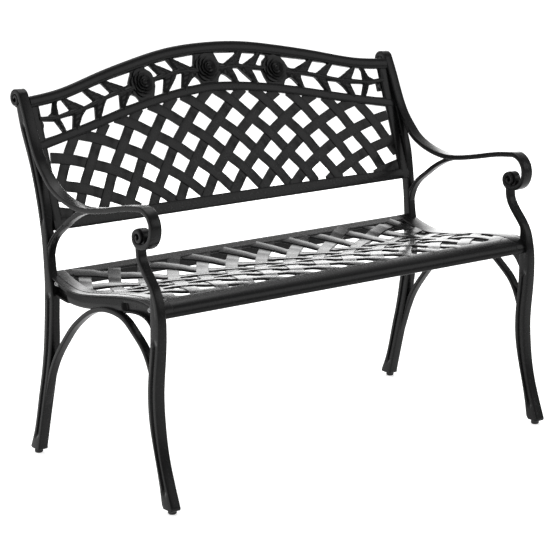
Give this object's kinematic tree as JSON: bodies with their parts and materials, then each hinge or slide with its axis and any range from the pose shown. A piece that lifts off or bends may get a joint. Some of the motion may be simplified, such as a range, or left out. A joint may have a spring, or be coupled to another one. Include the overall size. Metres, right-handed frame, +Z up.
{
  "type": "garden bench",
  "caption": "Cast metal garden bench with arched woven back, rose vine panel, woven seat, scrolled arms and screw-in levelling feet.",
  "frame": {"origin": "on the floor, below the middle of the bench's box", "axes": "+X along the seat to the right as seen from the front, -Y towards the front, +Z up"},
  "size_m": [1.02, 0.6087, 0.8394],
  "materials": {
    "powder_coat": "satin charcoal black powder coat with a fine grain on cast aluminium",
    "fixing_steel": "bright zinc plate",
    "foot_plastic": "matt black"
  },
  "bodies": {
    "bench": {"end_frame_left": "powder_coat", "end_frame_right": "powder_coat", "seat_panel": "powder_coat", "back_panel": "powder_coat", "seat_bolt_rear_left": "fixing_steel", "seat_bolt_rear_right": "fixing_steel", "seat_bolt_front_left": "fixing_steel", "seat_bolt_front_right": "fixing_steel", "seat_washer_rear_left": "fixing_steel", "seat_washer_rear_right": "fixing_steel", "seat_washer_front_left": "fixing_steel", "seat_washer_front_right": "fixing_steel", "back_bolt_lower_left": "fixing_steel", "back_bolt_lower_right": "fixing_steel", "back_bolt_upper_left": "fixing_steel", "back_bolt_upper_right": "fixing_steel", "back_washer_lower_left": "fixing_steel", "back_washer_lower_right": "fixing_steel", "back_washer_upper_left": "fixing_steel", "back_washer_upper_right": "fixing_steel"},
    "pad_rear_left": {"foot_pad_rear_left": "foot_plastic"},
    "stud_rear_left": {"foot_stud_rear_left": "fixing_steel"},
    "pad_rear_right": {"foot_pad_rear_right": "foot_plastic"},
    "stud_rear_right": {"foot_stud_rear_right": "fixing_steel"},
    "pad_front_left": {"foot_pad_front_left": "foot_plastic"},
    "stud_front_left": {"foot_stud_front_left": "fixing_steel"},
    "pad_front_right": {"foot_pad_front_right": "foot_plastic"},
    "stud_front_right": {"foot_stud_front_right": "fixing_steel"}
  },
  "joints": [
    {"name": "foot_slide_rear_left", "type": "slide", "parent": "bench", "child": "pad_rear_left", "axis": [0, 0, -1], "range_m": [0, 0.008]},
    {"name": "foot_screw_rear_left", "type": "hinge", "parent": "pad_rear_left", "child": "stud_rear_left", "pos_m": [-0.497, 0.215, 0.013], "axis": [0, 0, -1], "range_deg": [0, 2304]},
    {"name": "foot_slide_rear_right", "type": "slide", "parent": "bench", "child": "pad_rear_right", "axis": [0, 0, -1], "range_m": [0, 0.008]},
    {"name": "foot_screw_rear_right", "type": "hinge", "parent": "pad_rear_right", "child": "stud_rear_right", "pos_m": [0.497, 0.215, 0.013], "axis": [0, 0, -1], "range_deg": [0, 2304]},
    {"name": "foot_slide_front_left", "type": "slide", "parent": "bench", "child": "pad_front_left", "axis": [0, 0, -1], "range_m": [0, 0.008]},
    {"name": "foot_screw_front_left", "type": "hinge", "parent": "pad_front_left", "child": "stud_front_left", "pos_m": [-0.497, -0.287, 0.013], "axis": [0, 0, -1], "range_deg": [0, 2304]},
    {"name": "foot_slide_front_right", "type": "slide", "parent": "bench", "child": "pad_front_right", "axis": [0, 0, -1], "range_m": [0, 0.008]},
    {"name": "foot_screw_front_right", "type": "hinge", "parent": "pad_front_right", "child": "stud_front_right", "pos_m": [0.497, -0.287, 0.013], "axis": [0, 0, -1], "range_deg": [0, 2304]}
  ],
  "couplings": [
    {"joint": "foot_screw_rear_left", "follows": "foot_slide_rear_left", "rad_per_m": 5026.5},
    {"joint": "foot_screw_rear_right", "follows": "foot_slide_rear_right", "rad_per_m": 5026.5},
    {"joint": "foot_screw_front_left", "follows": "foot_slide_front_left", "rad_per_m": 5026.5},
    {"joint": "foot_screw_front_right", "follows": "foot_slide_front_right", "rad_per_m": 5026.5}
  ]
}
